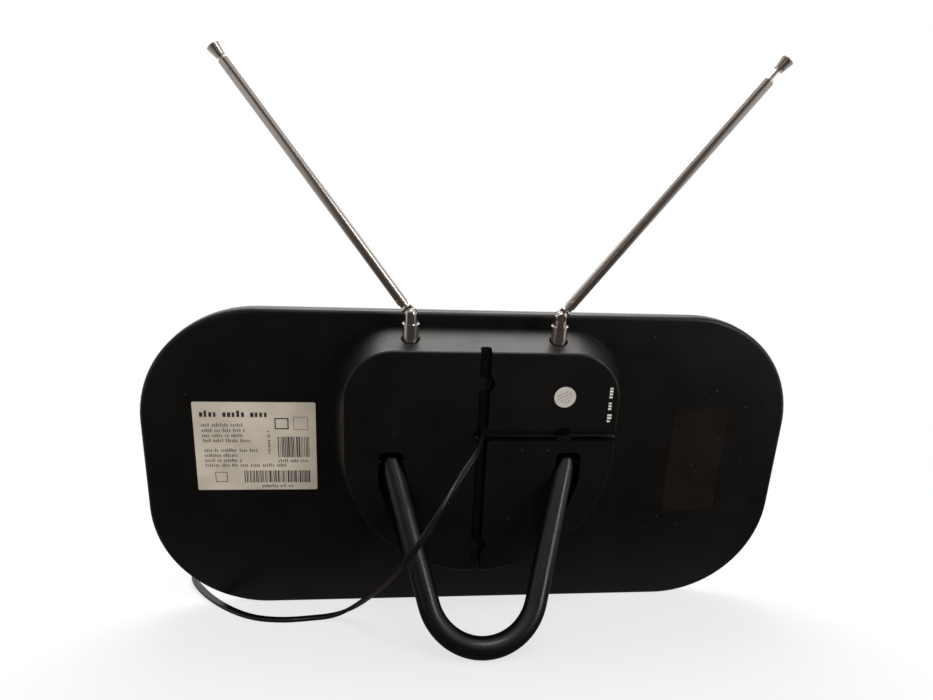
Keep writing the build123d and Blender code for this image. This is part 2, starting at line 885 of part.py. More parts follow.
def usb_shell_tube():
    length, width, height = usb_shell
    inner = (width - 2 * usb_shell_wall, height - 2 * usb_shell_wall)
    section = Rectangle(width, height) - Rectangle(*inner)
    return Pos(usb_grip[0], 0, 0) * extrude(Plane.YZ * section, length)


def usb_contact_tongue():
    length, width, height = usb_tongue
    drop = usb_shell[2] / 2 - usb_shell_wall - height / 2
    return Pos(usb_grip[0] + length / 2, 0, drop) * Box(length, width, height)


def rod_place(name):
    """The place of a rod's hinge, turned as its post is."""
    spot = Pos(post_spots[name], -post_depth, rod_hinge_height)
    return spot * Rot(Z=rod_swivel[name])


def rod_nodes(name):
    """The pieces of one rod, its post and its socket, in the panel frame."""
    side = sides[name]
    hinge = rod_place(name)
    half_turn = Rot(Z=180) if side < 0 else Rot(Z=0)
    along = hinge * Rot(Y=side * rod_tilt[name])
    pulled = along * Pos(0, 0, tip_pulled_out[name])
    nodes = {
        f"{name}_post": hinge * half_turn * post(),
        f"{name}_hinge_screw": hinge * half_turn * hinge_screw(),
        f"{name}_post_nut": hinge * post_nut(),
        f"{name}_contact_lug": contact_lug(side),
        f"{name}_rod_root": along * rod_root(),
    }
    for number in range(1, 5):
        nodes[f"{name}_tube_{number}"] = along * tube(number)
    nodes[f"{name}_tip_rod"] = pulled * tip_rod()
    nodes[f"{name}_tip_cap"] = pulled * tip_cap()
    return nodes


def panel_nodes():
    """Every piece that is drawn square to the panel."""
    label = Pos(*label_middle) * RectangleRounded(*label_size, label_corner)
    film = Pos(*film_middle) * RectangleRounded(*film_size, film_corner)
    round_spot = Pos(*round_sticker_middle) * Circle(round_sticker_radius)
    nodes = {
        "back_cover": back_cover(),
        "front_cover": front_cover(),
        "left_sheet_aerial": sheet_aerial(-1),
        "right_sheet_aerial": sheet_aerial(1),
        "feed_pins": feed_pins(),
        "rear_housing": rear_housing(),
        "housing_screws": housing_screws(),
        "amplifier_board": amplifier_board(),
        "shield_can": shield_can(),
        "cord_relief": cord_relief(),
        "stand": stand(),
        "left_stand_pin": stand_hinge_pin(-1),
        "right_stand_pin": stand_hinge_pin(1),
        "rating_label": sticker(label, 0),
        "film_patch": sticker(film, 0),
        "round_sticker": sticker(round_spot, -housing_depth),
    }
    for name in sides:
        nodes.update(rod_nodes(name))
    return nodes


def cord_nodes():
    """The cord and what is on it, lying on the floor."""
    coax_place = Pos(*coax_plug_start, coax_grip_radius)
    usb_place = Pos(*usb_plug_start, usb_grip[2] / 2)
    return {
        "signal_cord": cord_tube("signal_cord", cord_route, cord_round),
        "cord_coil": cord_coil(),
        "cord_end": cord_tube("cord_end", end_route, cord_round),
        "cord_splitter": splitter(),
        "coax_tail": cord_tube("coax_tail", coax_route, tail_round),
        "usb_tail": cord_tube("usb_tail", usb_route, tail_round),
        "coax_plug_grip": coax_place * coax_grip(),
        "coax_plug_ring": coax_place * coax_ring(),
        "coax_plug_pin": coax_place * coax_pin(),
        "usb_plug_grip": usb_place * usb_grip_body(),
        "usb_plug_shell": usb_place * usb_shell_tube(),
        "usb_plug_tongue": usb_place * usb_contact_tongue(),
    }


def solids_of(shape):
    pieces = shape if isinstance(shape, list) else [shape]
    return [solid for piece in pieces for solid in piece.solids()]


standing_place = Pos(0, 0, lift) * Rot(X=lean)
stood = {n: [standing_place * s for s in solids_of(p)] for n, p in panel_nodes().items()}
footprint = Compound([s for group in stood.values() for s in group]).bounding_box()
shift = (
    -round((footprint.min.X + footprint.max.X) / 2, 1),
    -round((footprint.min.Y + footprint.max.Y) / 2, 1),
    0.0,
)
nodes = {n: [Pos(*shift) * s for s in group] for n, group in stood.items()}
for name, piece in cord_nodes().items():
    nodes[name] = [Pos(*shift) * s for s in solids_of(piece)]

os.makedirs("parts", exist_ok=True)
for name, group in nodes.items():
    whole = group[0] if len(group) == 1 else Compound(group)
    export_step(whole, f"parts/{name}.step")
print(f"lean {lean:.2f} degrees, shift {shift}, lowest point {footprint.min.Z:.3f}")
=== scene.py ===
"""A flat indoor television antenna, seen from behind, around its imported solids.

Sections follow the antenna as it is put together: the camera and the cord first, then
the plugs, the covers and what they hold, the housing, the stand, the rods and the
stickers, and the studio last. Lengths are in millimetres until a point is placed.
"""
import json
import math
import random

import bmesh
import bpy
from mathutils import Euler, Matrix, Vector


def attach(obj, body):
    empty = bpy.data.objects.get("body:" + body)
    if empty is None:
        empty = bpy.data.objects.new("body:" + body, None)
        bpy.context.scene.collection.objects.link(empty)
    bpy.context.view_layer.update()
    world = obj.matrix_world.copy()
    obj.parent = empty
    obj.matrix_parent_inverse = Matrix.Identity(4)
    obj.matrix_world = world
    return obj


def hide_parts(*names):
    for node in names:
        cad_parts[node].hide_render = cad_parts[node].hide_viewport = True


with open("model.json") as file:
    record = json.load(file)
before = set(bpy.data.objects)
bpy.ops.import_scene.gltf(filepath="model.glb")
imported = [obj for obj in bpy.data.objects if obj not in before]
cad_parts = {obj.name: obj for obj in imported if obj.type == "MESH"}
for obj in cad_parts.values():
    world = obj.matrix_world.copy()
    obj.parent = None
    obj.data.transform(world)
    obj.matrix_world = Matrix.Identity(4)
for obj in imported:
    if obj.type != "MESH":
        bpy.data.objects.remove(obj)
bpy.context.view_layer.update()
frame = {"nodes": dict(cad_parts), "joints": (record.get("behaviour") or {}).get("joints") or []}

nodes = frame["nodes"]


# Camera
# The photograph was taken close to the back of the antenna, about level with the middle
# of the panel, through a lens of ordinary width.

PHOTO_LENS = 25.69
PHOTO_PLACE = (-0.03903, -0.30390, 0.14303)
PHOTO_TURN = (88.12247, -1.04588, -5.87191)

photo_camera = bpy.data.cameras.new("photo_camera")
photo_camera.sensor_width = 36.0
photo_camera.lens = PHOTO_LENS
photo_camera.clip_start = 0.01
photo_camera.clip_end = 20.0
photo_view = bpy.data.objects.new("photo_camera", photo_camera)
photo_view.location = PHOTO_PLACE
photo_view.rotation_euler = Euler([math.radians(a) for a in PHOTO_TURN], "XYZ")
bpy.context.scene.collection.objects.link(photo_view)
bpy.context.scene.camera = photo_view


# Cord
# A flat pair of round wires under one skin of glossy black vinyl. It comes out of a
# moulded relief in the housing on its edge, turns flat as it falls over the stand's leg,
# runs under the corner of the panel and ends in a neat coil behind it.

LEAN = math.radians(15.900063)
LIFT = -0.4714
FORWARD = 44.2
PAIR_WIDTH = 3.8
PAIR_THICKNESS = 1.9
PAIR_WEB = 0.9
TAIL_WIDTH = 1.9
RELIEF_X, RELIEF_END, RELIEF_HEIGHT = -0.3, -17.0, 103.8
FLOOR_LEVEL = 0.97
COIL_MIDDLE = (-126.0, 56.0)
COIL_OUTER_TURN = 25.5
COIL_INNER_TURN = 16.5
COIL_LAYER_TURNS = 4.625
COIL_STEPS = 16
COIL_LOW_LAYER = 1.92
COIL_LAYER_RISE = 3.84
VINYL_BLACK = (0.0045, 0.0045, 0.0048, 1)
DUST_GREY = (0.20, 0.19, 0.17, 1)


def feed(tree, socket, value):
    """Sets a socket to a value, or wires it from another socket."""
    if isinstance(value, bpy.types.NodeSocket):
        tree.links.new(value, socket)
    else:
        socket.default_value = value


def step(tree, kind, settings=None, **inputs):
    """A shader node of this kind; underscores stand for the spaces in its inputs' names."""
    made = tree.nodes.new("ShaderNode" + kind)
    for name, value in (settings or {}).items():
        setattr(made, name, value)
    for name, value in inputs.items():
        feed(tree, made.inputs[name.replace("_", " ")], value)
    return made


def calc(tree, operation, *values):
    """The result of a Math node on these values or sockets."""
    made = step(tree, "Math", {"operation": operation})
    for socket, value in zip(made.inputs, values):
        feed(tree, socket, value)
    return made.outputs[0]


def between(tree, value, low, high, to_low=0.0, to_high=1.0):
    """The value carried smoothly from one range to another."""
    return step(
        tree, "MapRange", {"interpolation_type": "SMOOTHSTEP"}, Value=value,
        From_Min=low, From_Max=high, To_Min=to_low, To_Max=to_high,
    ).outputs[0]


def blended(tree, share, first, second):
    """Two colours mixed by a mask; the numbered sockets are the node's colour ones."""
    made = step(tree, "Mix", {"data_type": "RGBA"})
    feed(tree, made.inputs["Factor"], share)
    feed(tree, made.inputs[6], first)
    feed(tree, made.inputs[7], second)
    return made.outputs[2]


def effect(name, inputs, outputs):
    """A new shader node group with these named inputs and outputs."""
    group = bpy.data.node_groups.new(name, "ShaderNodeTree")
    for label, kind, value in inputs:
        socket = group.interface.new_socket(
            label, in_out="INPUT", socket_type="NodeSocket" + kind
        )
        if value is not None:
            socket.default_value = value
    for label in outputs:
        group.interface.new_socket(label, in_out="OUTPUT", socket_type="NodeSocketFloat")
    given = group.nodes.new("NodeGroupInput").outputs
    result = group.nodes.new("NodeGroupOutput").inputs
    return group, given, result


def placed(tree, group, **inputs):
    """The outputs of a node group that is placed in a material with its own values."""
    made = tree.nodes.new("ShaderNodeGroup")
    made.node_tree = group
    for name, value in inputs.items():
        feed(tree, made.inputs[name.replace("_", " ")], value)
    return made.outputs


moulded_grain, given, result = effect(
    "moulded_grain",
    [("Position", "Vector", None), ("Size", "Float", 0.0005), ("Patch", "Float", 0.02)],
    ["Grain", "Cloud"],
)
fine = step(
    moulded_grain, "TexNoise", Vector=given["Position"],
    Scale=calc(moulded_grain, "DIVIDE", 1.0, given["Size"]), Detail=2.0,
)
broad = step(
    moulded_grain, "TexNoise", Vector=given["Position"],
    Scale=calc(moulded_grain, "DIVIDE", 1.0, given["Patch"]), Detail=3.0,
)
feed(moulded_grain, result["Grain"], fine.outputs[0])
feed(moulded_grain, result["Cloud"], between(moulded_grain, broad.outputs[0], 0.3, 0.7))

dust_and_rubs, given, result = effect(
    "dust_and_rubs",
    [("Position", "Vector", None), ("Dust", "Float", 0.1), ("Rubs", "Float", 0.5)],
    ["Dust", "Rub"],
)
specks = step(dust_and_rubs, "TexVoronoi", Vector=given["Position"], Scale=420.0)
small = calc(dust_and_rubs, "LESS_THAN", specks.outputs["Distance"], 0.085)
cell_shade = step(dust_and_rubs, "SeparateColor", Color=specks.outputs["Color"]).outputs[0]
chosen = calc(dust_and_rubs, "LESS_THAN", cell_shade, given["Dust"])
feed(dust_and_rubs, result["Dust"], calc(dust_and_rubs, "MULTIPLY", small, chosen))
swept = step(
    dust_and_rubs, "Mapping", Vector=given["Position"],
    Rotation=(0.3, 0.5, 0.7), Scale=(1.0, 14.0, 14.0),
)
strokes = step(dust_and_rubs, "TexNoise", Vector=swept.outputs[0], Scale=160.0, Detail=3.0)
where = step(dust_and_rubs, "TexNoise", Vector=given["Position"], Scale=28.0)
rubbed = calc(
    dust_and_rubs, "MULTIPLY",
    between(dust_and_rubs, strokes.outputs[0], 0.56, 0.70),
    between(dust_and_rubs, where.outputs[0], 0.50, 0.72),
)
feed(dust_and_rubs, result["Rub"], calc(dust_and_rubs, "MULTIPLY", rubbed, given["Rubs"]))


def plain_finish(name, colour, roughness, grain, depth, gloss, dust=0.02, rubs=0.5):
    """Moulded plastic, paper, film, lacquer or ink; grain and depth are in millimetres."""
    material = bpy.data.materials.new(name)
    material.use_nodes = True
    tree = material.node_tree
    shader = tree.nodes["Principled BSDF"]
    position = step(tree, "TexCoord").outputs["Object"]
    skin = placed(tree, moulded_grain, Position=position, Size=grain / 1000)
    marks = placed(tree, dust_and_rubs, Position=position, Dust=dust, Rubs=rubs)
    lighter = tuple(1.5 * c for c in colour[:3]) + (1,)
    shade = blended(tree, calc(tree, "MULTIPLY", skin["Cloud"], 0.6), colour, lighter)
    feed(tree, shader.inputs["Base Color"], blended(tree, marks["Dust"], shade, DUST_GREY))
    uneven = calc(tree, "MULTIPLY_ADD", skin["Cloud"], 0.08, roughness - 0.04)
    feed(tree, shader.inputs["Roughness"], calc(tree, "MULTIPLY_ADD", marks["Rub"], 0.15, uneven))
    relief = step(tree, "Bump", Height=skin["Grain"], Distance=depth / 1000)
    feed(tree, shader.inputs["Normal"], relief.outputs[0])
    shader.inputs["Specular IOR Level"].default_value = gloss
    return material


def dress(material, *names):
    """Gives a material to these solids, in every slot that they have."""
    for name in names:
        for place in nodes[name].material_slots:
            place.link = "DATA"
            place.material = material


def from_panel(x, y, z):
    """A point drawn square to the panel, where it is once the panel leans, in metres."""
    s, c = math.sin(LEAN), math.cos(LEAN)
    return Vector((x, y * c - z * s + FORWARD, y * s + z * c + LIFT)) / 1000


def on_floor(x, y, z):
    """A point of the cord's route, in metres."""
    return Vector((x, y + FORWARD, z)) / 1000


def smooth_line(name, points, fineness=8):
    """A NURBS curve that is drawn smoothly through the neighbourhood of these points."""
    curve = bpy.data.curves.new(name, "CURVE")
    curve.dimensions = "3D"
    line = curve.splines.new("NURBS")
    line.points.add(len(points) - 1)
    for place, point in zip(line.points, points):
        place.co = (*point, 1.0)
    line.order_u = 3
    line.use_endpoint_u = True
    line.resolution_u = fineness
    curve.resolution_u = fineness
    piece = bpy.data.objects.new(name, curve)
    bpy.context.scene.collection.objects.link(piece)
    return piece


def points_along(piece):
    """The points that Blender itself finds on a curve without thickness."""
    flat = bpy.data.meshes.new_from_object(piece)
    points = [v.co.copy() for v in flat.vertices]
    bpy.data.meshes.remove(flat)
    return points


def twin_outline(width, thickness, web):
    """The section of a flat pair: two round lobes joined by a narrow web."""
    lobe = thickness / 2
    middle = (width - thickness) / 2
    cut = math.asin(min(0.95, web / 2 / lobe))
    outline = []
    for side in (1, -1):
        for i in range(9):
            angle = (math.pi - cut) * (i / 4 - 1)
            across = middle + lobe * math.cos(angle)
            outline.append((side * across, side * lobe * math.sin(angle)))
    return outline


def piece_from(mesh, name):
    """A piece of the scene from a finished mesh."""
    bmesh.ops.recalc_face_normals(mesh, faces=mesh.faces)
    data = bpy.data.meshes.new(name)
    mesh.to_mesh(data)
    mesh.free()
    piece = bpy.data.objects.new(name, data)
    bpy.context.scene.collection.objects.link(piece)
    return piece


def flat_strand(name, points, outline, twist):
    """A mesh tube with this section along the points, laid flat and turned by twist."""
    mesh = bmesh.new()
    up = Vector((0, 0, 1))
    rings = []
    run = 0.0
    for i, point in enumerate(points):
        ahead = points[min(i + 1, len(points) - 1)] - points[max(i - 1, 0)]
        ahead.normalize()
        if i:
            run += (point - points[i - 1]).length
        level = up.cross(ahead).normalized()
        rise = ahead.cross(level)
        turn = twist(run * 1000)
        wide = level * math.cos(turn) + rise * math.sin(turn)
        thick = rise * math.cos(turn) - level * math.sin(turn)
        ring = [mesh.verts.new(point + (wide * a + thick * b) / 1000) for a, b in outline]
        rings.append(ring)
    for ring, following in zip(rings, rings[1:]):
        for k in range(len(ring)):
            n = (k + 1) % len(ring)
            mesh.faces.new((ring[k], ring[n], following[n], following[k]))
    mesh.faces.new(reversed(rings[0]))
    mesh.faces.new(rings[-1])
    for face in mesh.faces:
        face.smooth = True
    return piece_from(mesh, name)


def ease(value, low, high):
    """0 below low, 1 above high and a smooth step between them."""
    share = min(1.0, max(0.0, (value - low) / (high - low)))
    return share * share * (3 - 2 * share)


cord_vinyl = plain_finish(
    "cord_vinyl", VINYL_BLACK, roughness=0.24, grain=0.5, depth=0.004, gloss=0.45, dust=0.02
)

cord_points = [
    from_panel(RELIEF_X, RELIEF_END, RELIEF_HEIGHT),
    from_panel(RELIEF_X, RELIEF_END - 6.5, RELIEF_HEIGHT),
    on_floor(-4.2, -60.0, 88.0),
    on_floor(-10.5, -68.5, 81.5),
    on_floor(-17.0, -75.5, 73.5),
    on_floor(-23.0, -79.5, 64.5),
    on_floor(-29.5, -78.0, 53.5),
    on_floor(-36.5, -69.5, 41.5),
    on_floor(-43.5, -57.5, 30.0),
    on_floor(-51.0, -43.5, 18.5),
    on_floor(-59.0, -30.0, 8.0),
    on_floor(-68.0, -23.5, 1.9),
    on_floor(-79.5, -23.5, FLOOR_LEVEL),
    on_floor(-92.5, -25.0, FLOOR_LEVEL),
    on_floor(-107.0, -21.5, FLOOR_LEVEL),
    on_floor(-121.5, -10.0, FLOOR_LEVEL),
    on_floor(-136.0, 7.0, 1.1),
    on_floor(-147.5, 25.0, 1.75),
    on_floor(-151.0, 36.0, 1.95),
    on_floor(-151.0, 43.5, 1.95),
]
# The curve runs inside its corner points, so they stand a little outside the turns
hull = 1 / (0.5 + 0.5 * math.cos(math.pi / COIL_STEPS) ** 2)
coil_points = int(2 * COIL_LAYER_TURNS * COIL_STEPS)
for i in range(coil_points + 1):
    share = i / coil_points
    inward = 1 - abs(2 * share - 1)
    radius = COIL_OUTER_TURN + (COIL_INNER_TURN - COIL_OUTER_TURN) * inward
    angle = math.pi - 2 * math.pi * i / COIL_STEPS
    height = COIL_LOW_LAYER + COIL_LAYER_RISE * ease(share, 0.492, 0.508)
    cord_points.append(
        on_floor(
            COIL_MIDDLE[0] + hull * radius * math.cos(angle),
            COIL_MIDDLE[1] + hull * radius * math.sin(angle),
            height,
        )
    )
cord_points += [
    on_floor(-119.0, 82.0, 5.0),
    on_floor(-112.0, 81.4, 3.2),
    on_floor(-104.0, 81.0, 2.3),
]


def edgewise(run):
    """The cord's turn: on edge at the relief, flat on the leg, on edge again in the coil."""
    return math.pi / 2 * (1 - ease(run, 18, 85) + ease(run, 238, 276))


cord_guide = smooth_line("cord_guide", cord_points)
cord_path = points_along(cord_guide)
bpy.data.objects.remove(cord_guide)
signal_cord = flat_strand(
    "signal_cord_pair",
    cord_path,
    twin_outline(PAIR_WIDTH, PAIR_THICKNESS, PAIR_WEB),
    edgewise,
)
signal_cord.data.materials.append(cord_vinyl)
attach(signal_cord, "panel")
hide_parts("signal_cord", "cord_coil", "cord_end")

COAX_ROUTE = [
    (-91.0, 82.8, 1.0), (-82.0, 82.8, 1.0), (-70.0, 86.0, 1.0), (-57.0, 86.5, 1.0),
    (-45.0, 82.0, 2.0), (-35.0, 76.5, 4.2), (-26.0, 74.0, 5.6), (-18.0, 74.0, 5.6),
]
USB_ROUTE = [
    (-91.0, 79.2, 1.0), (-83.0, 79.2, 1.0), (-75.0, 72.0, 1.0), (-69.0, 61.0, 1.0),
    (-60.0, 53.5, 1.8), (-49.0, 52.0, 3.9), (-40.0, 52.0, 3.9),
]
for node, route, length, plug in (
    ("coax_tail", COAX_ROUTE, 0.0755, ["coax_plug_grip", "coax_plug_ring", "coax_plug_pin"]),
    ("usb_tail", USB_ROUTE, 0.0615, ["usb_plug_grip", "usb_plug_shell", "usb_plug_tongue"]),
):
    tail = smooth_line(f"{node}_wire", [on_floor(*point) for point in route])
    tail.data.bevel_depth = TAIL_WIDTH / 2000
    tail.data.bevel_resolution = 4
    tail.data.use_fill_caps = True
    tail.data.materials.append(cord_vinyl)
    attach(tail, "panel")
    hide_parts(node)


# Splitter and plugs
# The splitter and the two grips are moulded in one piece each over the wires. The
# aerial plug has a nickelled ring and pin, and the power plug a folded steel shell.

plug_black = plain_finish(
    "plug_black", VINYL_BLACK, roughness=0.46, grain=0.7, depth=0.008, gloss=0.35, dust=0.04
)
dress(plug_black, "cord_splitter", "coax_plug_grip", "usb_plug_grip", "cord_relief")

drawn_lines, given, result = effect(
    "drawn_lines", [("Position", "Vector", None)], ["Lines", "Stain"]
)
long_grain = step(drawn_lines, "Mapping", Vector=given["Position"], Scale=(1.0, 1.0, 0.02))
lines = step(drawn_lines, "TexNoise", Vector=long_grain.outputs[0], Scale=2600.0, Detail=2.0)
stain = step(drawn_lines, "TexNoise", Vector=given["Position"], Scale=260.0, Detail=4.0)
feed(drawn_lines, result["Lines"], lines.outputs[0])
feed(drawn_lines, result["Stain"], between(drawn_lines, stain.outputs[0], 0.60, 0.78))


def bare_metal(name, colour, roughness, drawn_along, streak, colour_spread=0.12):
    """A plain metal with fine lines drawn along a direction; streak is their strength."""
    material = bpy.data.materials.new(name)
    material.use_nodes = True
    tree = material.node_tree
    shader = tree.nodes["Principled BSDF"]
    position = step(tree, "TexCoord").outputs["Object"]
    turn = Vector((0, 0, 1)).rotation_difference(Vector(drawn_along)).inverted().to_euler()
    aligned = step(tree, "Mapping", Vector=position, Rotation=turn)
    drawn = placed(tree, drawn_lines, Position=aligned.outputs[0])
    dark = tuple((1 - 3 * colour_spread) * c for c in colour) + (1,)
    feed(tree, shader.inputs["Base Color"], blended(tree, drawn["Stain"], (*colour, 1), dark))
    feed(
        tree, shader.inputs["Roughness"],
        calc(tree, "MULTIPLY_ADD", drawn["Stain"], 0.12, roughness),
    )
    relief = step(tree, "Bump", Height=drawn["Lines"], Distance=streak / 1000)
    feed(tree, shader.inputs["Normal"], relief.outputs[0])
    shader.inputs["Metallic"].default_value = 1.0
    return material


nickel = bare_metal("nickel", (0.60, 0.57, 0.52), 0.22, (1, 0, 0), 0.001)
dress(nickel, "coax_plug_ring", "coax_plug_pin", "usb_plug_shell")
tongue_white = plain_finish(
    "tongue_white", (0.52, 0.52, 0.50, 1), roughness=0.4, grain=0.6, depth=0.004, gloss=0.5,
    dust=0.0,
)
dress(tongue_white, "usb_plug_tongue")


# Covers
# Two shallow trays of moulded black plastic snapped together round the rim. The back one
# is fine satin, the front one is smoother, and a narrow seam runs between them.

COVER_BLACK = (0.0020, 0.0020, 0.0020, 1)
back_satin = plain_finish(
    "back_satin", COVER_BLACK, roughness=0.42, grain=0.55, depth=0.010, gloss=0.45, dust=0.03
)
front_satin = plain_finish(
    "front_satin", COVER_BLACK, roughness=0.30, grain=0.6, depth=0.004, gloss=0.5, dust=0.03
)
dress(back_satin, "back_cover")
dress(front_satin, "front_cover")


# Inside the covers
# Two stamped aluminium sheets are the aerial. Their pins reach a small amplifier board
# in the housing, under a tinned can, and blackened screws hold the housing from inside.

sheet_metal = bare_metal("sheet_metal", (0.78, 0.78, 0.79), 0.32, (1, 0, 0), 0.002)
dress(sheet_metal, "left_sheet_aerial", "right_sheet_aerial")
tinned = bare_metal("tinned", (0.66, 0.66, 0.67), 0.38, (1, 0, 0), 0.001)
dress(tinned, "shield_can")
pin_brass = bare_metal("pin_brass", (0.66, 0.50, 0.22), 0.30, (0, 1, 0), 0.001)
dress(pin_brass, "feed_pins", "left_contact_lug", "right_contact_lug")
screw_black = bare_metal("screw_black", (0.09, 0.09, 0.09), 0.42, (0, 1, 0), 0.001)
dress(screw_black, "housing_screws", "left_stand_pin", "right_stand_pin")
nut_steel = bare_metal("nut_steel", (0.52, 0.51, 0.50), 0.34, (0, 0, 1), 0.001)
dress(nut_steel, "left_post_nut", "right_post_nut")

board_green = plain_finish(
    "board_green", (0.012, 0.085, 0.035, 1), roughness=0.35, grain=0.8, depth=0.004, gloss=0.5,
    dust=0.0,
)
dress(board_green, "amplifier_board")


# Rear housing
# One deep moulded cover with drafted walls and rounded edges, with grooves and catches
# that hold the cord for storage. A few small white marks are printed near its right edge.

housing_satin = plain_finish(
    "housing_satin", (0.0026, 0.0026, 0.0026, 1), roughness=0.40, grain=0.55, depth=0.010,
    gloss=0.5, dust=0.05,
)
dress(housing_satin, "rear_housing")


def print_ink(name, colour, roughness=0.5, gloss=0.3):
    """A thin layer of ink, smoother than what it lies on."""
    return plain_finish(
        name, colour, roughness, grain=0.4, depth=0.002, gloss=gloss, dust=0.0, rubs=0.2
    )


def panel_plates(name, plates, face, height=0.03, turn=0.0, middle=(0.0, 0.0)):
    """Thin plates of print on a face of the panel, each given as left, low, right, high."""
    mesh = bmesh.new()
    s, c = math.sin(turn), math.cos(turn)
    for left, low, right, high in plates:
        corners = [(left, low), (right, low), (right, high), (left, high)]
        corners = [(middle[0] + x * c - z * s, middle[1] + x * s + z * c) for x, z in corners]
        near = [mesh.verts.new(from_panel(x, face - height, z)) for x, z in corners]
        far = [mesh.verts.new(from_panel(x, face, z)) for x, z in corners]
        mesh.faces.new(near)
        mesh.faces.new(reversed(far))
        for k in range(4):
            n = (k + 1) % 4
            mesh.faces.new((near[n], near[k], far[k], far[n]))
    piece = piece_from(mesh, name)
    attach(piece, "panel")
    return piece


print_draws = random.Random(5)


def printed_row(left, low, length, height, pitch, longest=8):
    """A row of short blocks in groups, in the place of a line of print."""
    blocks = []
    x = left
    group = print_draws.randint(3, longest)
    while x < left + length - 0.5 * pitch:
        if group == 0:
            group = print_draws.randint(2, longest)
        else:
            wide = pitch * print_draws.uniform(0.5, 0.75)
            tall = height * print_draws.choice((0.72, 0.72, 1.0))
            blocks.append((x, low, min(x + wide, left + length), low + tall))
            group -= 1
        x += pitch
    return blocks


white_ink = print_ink("white_ink", (0.60, 0.60, 0.58, 1), roughness=0.55)
HOUSING_FACE = -20.0
HOUSING_PRINT_X = 57.6
housing_rows = [
    (low, side, high, end)
    for start, length in ((111.0, 4.6), (117.0, 11.4))
    for side, low, end, high in printed_row(start, HOUSING_PRINT_X, length, 2.0, 1.45, 9)
]
housing_print = panel_plates("housing_print", housing_rows, HOUSING_FACE)
housing_print.data.materials.append(white_ink)


# Stand
# A round black rod, bent to a narrowing U, that turns on pins in two recesses of the
# housing and folds flat into them.

stand_satin = plain_finish(
    "stand_satin", (0.0026, 0.0026, 0.0026, 1), roughness=0.31, grain=0.6, depth=0.006,
    gloss=0.6, dust=0.03,
)
dress(stand_satin, "stand")


# Posts and telescopic rods
# Chromed brass: a turned post with a ferrule and a fork, a hinge screw, and five drawn
# tubes that slide into each other and end in a flared cap. The plate is thin and shows
# a warm tint and small dark spots.

CHROME = (0.66, 0.62, 0.585)
for side in ("left", "right"):
    along = next(j for j in frame["joints"] if j["name"] == f"{side}_slide_1")["axis"]
    upward = next(j for j in frame["joints"] if j["name"] == f"{side}_swivel")["axis"]
    rod_chrome = bare_metal(f"{side}_rod_chrome", CHROME, 0.22, along, 0.0001)
    post_chrome = bare_metal(f"{side}_post_chrome", CHROME, 0.15, upward, 0.0002)
    dress(
        rod_chrome,
        f"{side}_rod_root",
        *[f"{side}_tube_{n}" for n in range(1, 5)],
        f"{side}_tip_rod",
        f"{side}_tip_cap",
    )
    dress(post_chrome, f"{side}_post", f"{side}_hinge_screw")


# Label, round sticker and film
# Paper and film laid on the plastic. The label's print is plain blocks and bars, the
# round sticker is silvered with a few strokes, and the film patch is smoked and stained.

LABEL_LEFT, LABEL_RIGHT = -133.45, -77.15
LABEL_TOP, LABEL_LOW = 111.6, 65.8
LABEL_FACE = -0.15
paper = plain_finish(
    "label_paper", (0.50, 0.455, 0.385, 1), roughness=0.5, grain=0.5, depth=0.003, gloss=0.4,
    dust=0.0, rubs=0.2,
)
dress(paper, "rating_label")
dark_ink = print_ink("label_ink", (0.030, 0.026, 0.024, 1))
pale_ink = print_ink("label_pale_ink", (0.16, 0.14, 0.12, 1))


def on_label(left, top, right, low):
    """A plate in millimetres from shares of the label's width and height."""
    wide, tall = LABEL_RIGHT - LABEL_LEFT, LABEL_TOP - LABEL_LOW
    return (
        LABEL_LEFT + left * wide, LABEL_TOP - low * tall,
        LABEL_LEFT + right * wide, LABEL_TOP - top * tall,
    )


def label_row(left, right, top, low, pitch, longest=8):
    """A row of print on the label."""
    x0, z0, x1, z1 = on_label(left, top, right, low)
    return printed_row(x0, z0, x1 - x0, z1 - z0, pitch, longest)


def bar_field(left, right, top, low):
    """A field of upright bars of uneven width."""
    x0, z0, x1, z1 = on_label(left, top, right, low)
    bars = []
    x = x0
    while x < x1 - 0.2:
        wide = print_draws.choice((0.22, 0.3, 0.45, 0.7))
        bars.append((x, z0, min(x + wide, x1), z1))
        x += wide + print_draws.choice((0.25, 0.35, 0.55))
    return bars


def label_frame(left, right, top, low, stroke):
    """The outline of a plain box."""
    x0, z0, x1, z1 = on_label(left, top, right, low)
    return [
        (x0, z0, x1, z0 + stroke), (x0, z1 - stroke, x1, z1),
        (x0, z0 + stroke, x0 + stroke, z1 - stroke), (x1 - stroke, z0 + stroke, x1, z1 - stroke),
    ]


dark_print = label_row(0.055, 0.615, 0.095, 0.165, 2.1, 9)
dark_print += label_frame(0.66, 0.775, 0.175, 0.30, 0.55)
dark_print += label_frame(0.15, 0.25, 0.79, 0.905, 0.3)
dark_print += bar_field(0.68, 0.94, 0.385, 0.62) + bar_field(0.39, 0.94, 0.775, 0.915)
label_print = panel_plates("label_print", dark_print, LABEL_FACE)
label_print.data.materials.append(dark_ink)

